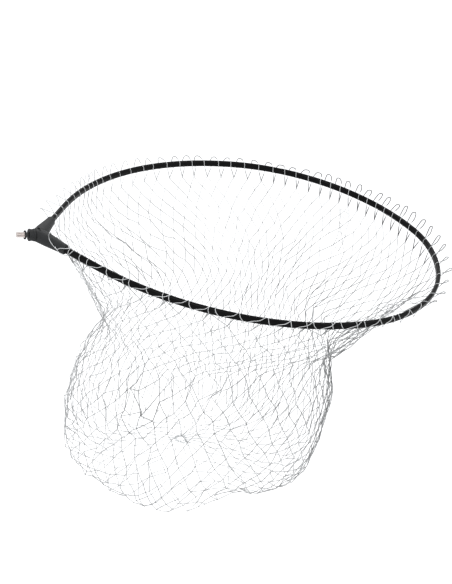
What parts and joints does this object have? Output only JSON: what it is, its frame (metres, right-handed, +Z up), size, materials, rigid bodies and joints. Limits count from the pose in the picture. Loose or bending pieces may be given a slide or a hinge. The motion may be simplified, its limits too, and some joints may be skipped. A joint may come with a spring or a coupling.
{
  "type": "landing net head",
  "caption": "Landing net head with a flat-oval tube hoop, a moulded spreader block, a threaded handle stud and a knotted monofilament bag.",
  "frame": {"origin": "on the stud axis at the outer face of the washer, where the end of the handle seats", "axes": "the stud points along -X and the hoop runs out along +X in the XY plane; +Z is up and the bag hangs along -Z; +Y is the left side seen from the handle"},
  "size_m": [0.7817, 0.583, 0.5077],
  "materials": {
    "block_plastic": "fine matte moulding grain",
    "stud_steel": "zinc plated, turned",
    "washer_rubber": "matte",
    "tube_anodised": "black anodised satin",
    "pin_steel": "plain",
    "net_nylon": "clear drawn monofilament"
  },
  "bodies": {
    "root": {"spreader_block": "block_plastic", "stud": "stud_steel", "stud_washer": "washer_rubber", "hoop_tube": "tube_anodised", "leg_pin_left": "pin_steel", "leg_pin_right": "pin_steel", "net_bag": "net_nylon", "base_tie": "net_nylon"}
  },
  "joints": []
}
